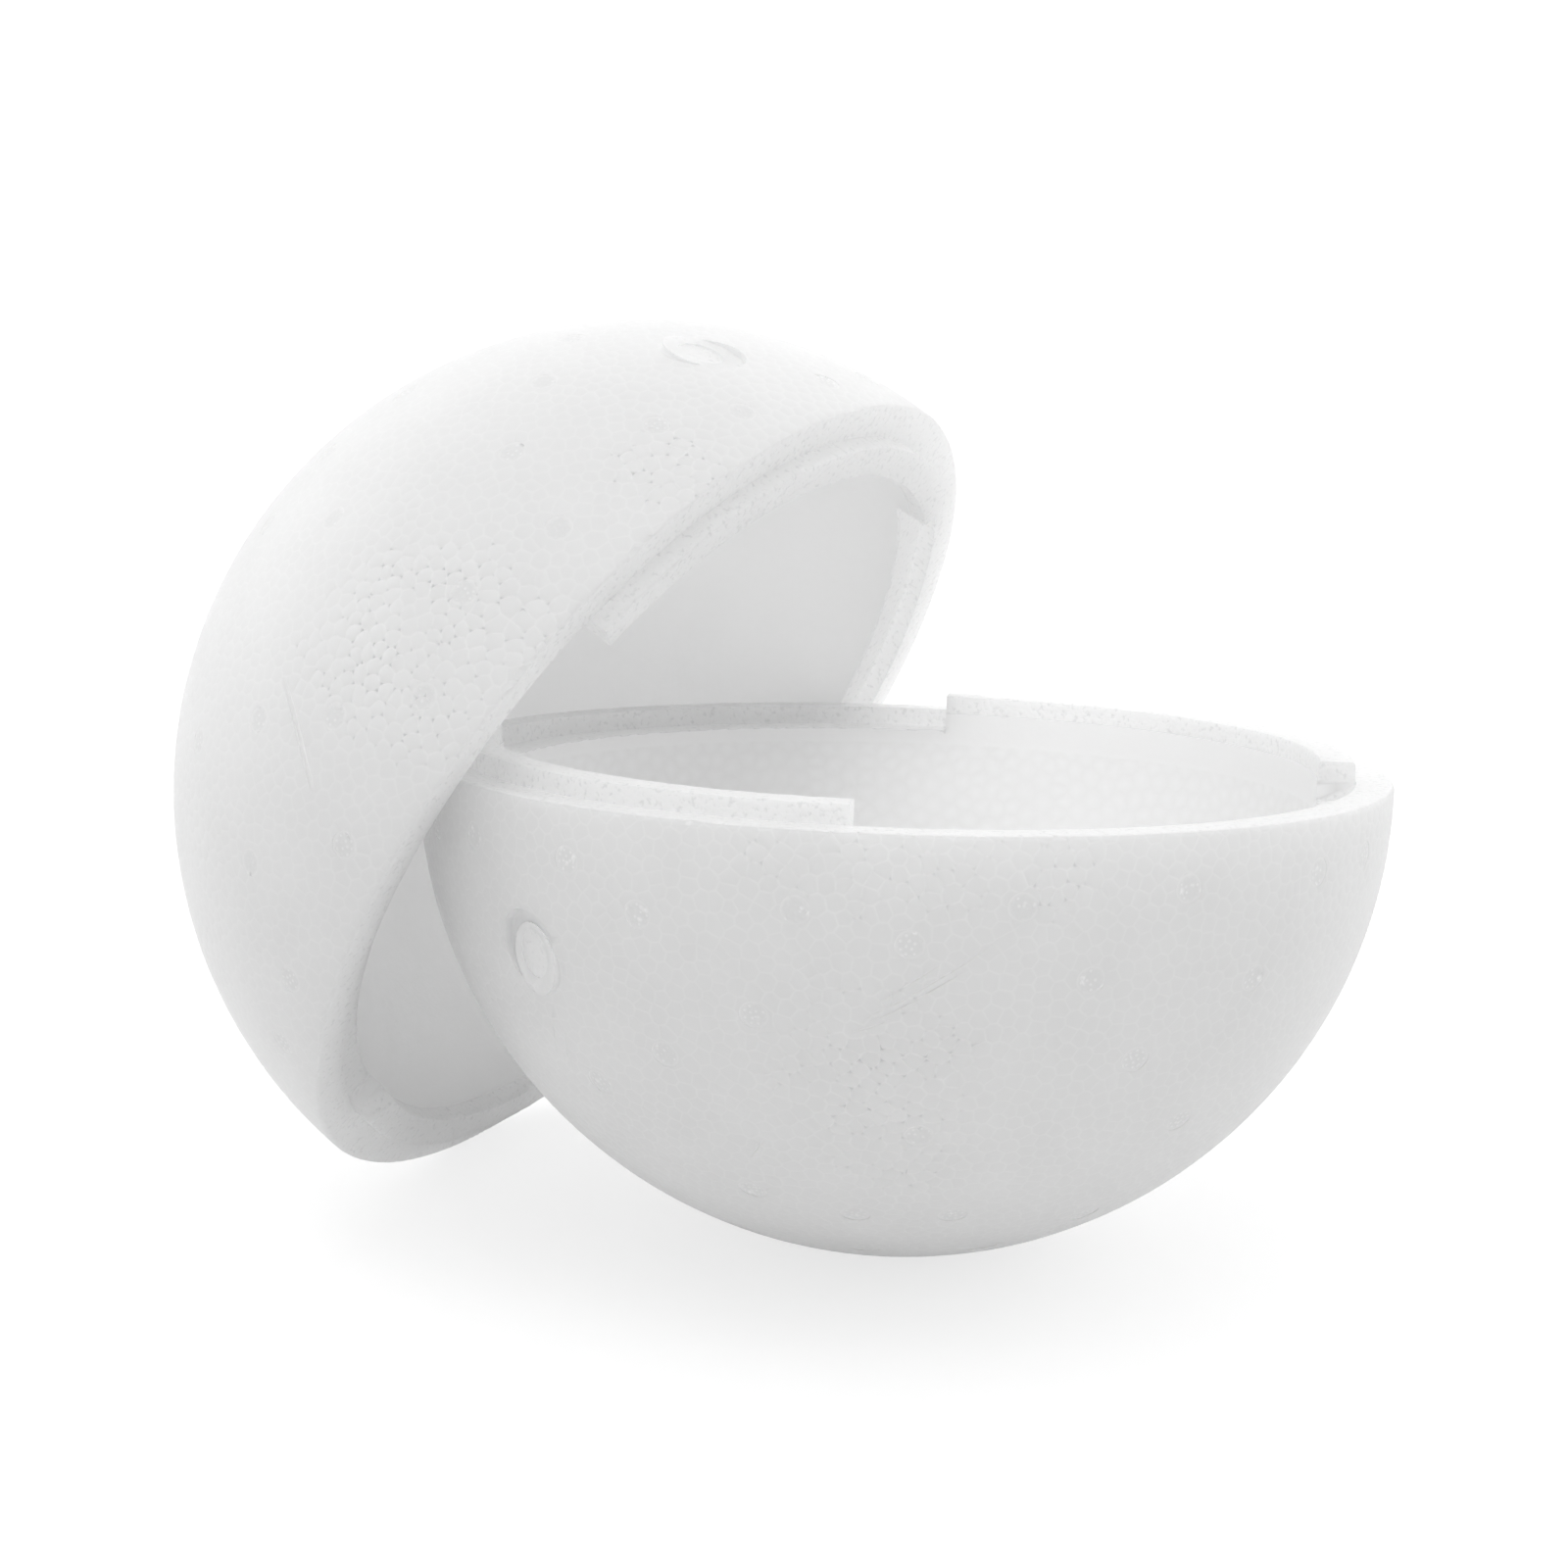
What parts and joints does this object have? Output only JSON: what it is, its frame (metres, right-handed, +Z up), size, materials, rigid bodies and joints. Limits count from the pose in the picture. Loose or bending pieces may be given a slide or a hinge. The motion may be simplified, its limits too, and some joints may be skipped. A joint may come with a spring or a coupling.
{
  "type": "two-part polystyrene ball",
  "caption": "Hollow expanded polystyrene craft ball lying open: a half standing as a bowl and its matching half leaning on it, with stepped interlocking rims.",
  "frame": {"origin": "middle of the plan of both halves, at the level of the surface they lie on", "axes": "+Z up; +X to the side the bowl half stands on; +Y away from the side both hollows are seen from"},
  "size_m": [0.2541, 0.226, 0.1875],
  "materials": {
    "foam_bowl": "matte",
    "foam_leaning": "matte"
  },
  "bodies": {
    "root": {"bowl_half": "foam_bowl", "leaning_half": "foam_leaning"}
  },
  "joints": []
}
